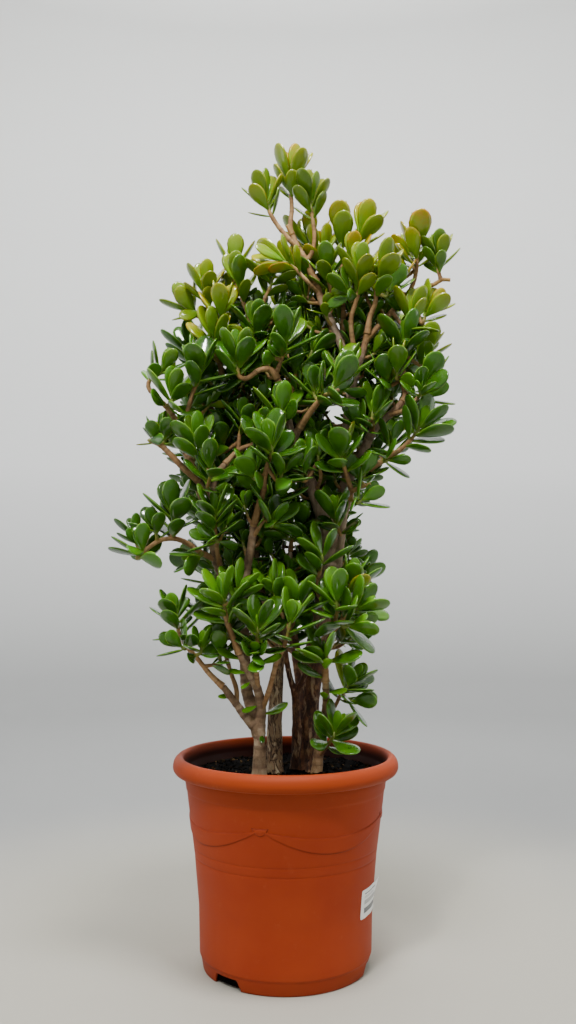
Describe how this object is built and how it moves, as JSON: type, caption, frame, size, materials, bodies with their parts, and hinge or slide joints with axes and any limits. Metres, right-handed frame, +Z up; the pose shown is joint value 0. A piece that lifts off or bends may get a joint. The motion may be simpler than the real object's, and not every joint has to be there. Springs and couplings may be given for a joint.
{
  "type": "potted jade plant",
  "caption": "Tall potted jade plant with several woody stems and thick obovate leaves in pairs, standing in a rolled-rim terracotta-coloured plastic pot with a festoon.",
  "frame": {"origin": "centre of the pot's underside, on the floor", "axes": "+Z up through the crown, -Y toward the front with the label on the right-hand side, +X to the plant's right as seen from the front"},
  "size_m": [0.501, 0.3587, 1.2022],
  "materials": {
    "pot": "satin",
    "soil": "matte",
    "label": "satin",
    "bark": "matte",
    "leaf": "gloss"
  },
  "bodies": {
    "root": {"branch_back_centre": "leaf", "branch_back_far_left": "leaf", "branch_back_left": "leaf", "branch_back_left_crown": "leaf", "branch_back_low": "leaf", "branch_back_mid": "leaf", "branch_back_right": "leaf", "branch_back_right_low": "leaf", "branch_back_up": "leaf", "branch_centre": "leaf", "branch_centre_dark": "leaf", "branch_centre_inner": "leaf", "branch_centre_left": "leaf", "branch_centre_pale": "leaf", "branch_centre_up": "leaf", "branch_crown": "leaf", "branch_crown_dark": "leaf", "branch_crown_left": "leaf", "branch_crown_right": "leaf", "branch_crown_tall": "leaf", "branch_far_left": "leaf", "branch_front_bright": "leaf", "branch_front_centre": "leaf", "branch_front_low": "leaf", "branch_front_right": "leaf", "branch_inner_right": "leaf", "branch_left_inner": "leaf", "branch_left_low": "leaf", "branch_left_mid": "leaf", "branch_left_stub": "leaf", "branch_left_up": "leaf", "branch_low_inner": "leaf", "branch_low_left": "leaf", "branch_middle": "leaf", "branch_middle_right": "leaf", "branch_right_column": "leaf", "branch_right_crown": "leaf", "branch_right_front": "leaf", "branch_right_inner": "leaf", "branch_right_low": "leaf", "branch_right_mid": "leaf", "branch_right_outer": "leaf", "branch_right_shade": "leaf", "branch_right_shoot": "leaf", "branch_right_thin": "leaf", "branch_right_upper": "leaf", "branch_upper_inner": "leaf", "branch_upper_left": "leaf", "label": "label", "pot": "pot", "soil": "soil", "stem_back": "bark", "stem_cracked": "bark", "stem_front": "bark", "stem_main": "bark", "stem_right": "bark"}
  },
  "joints": []
}
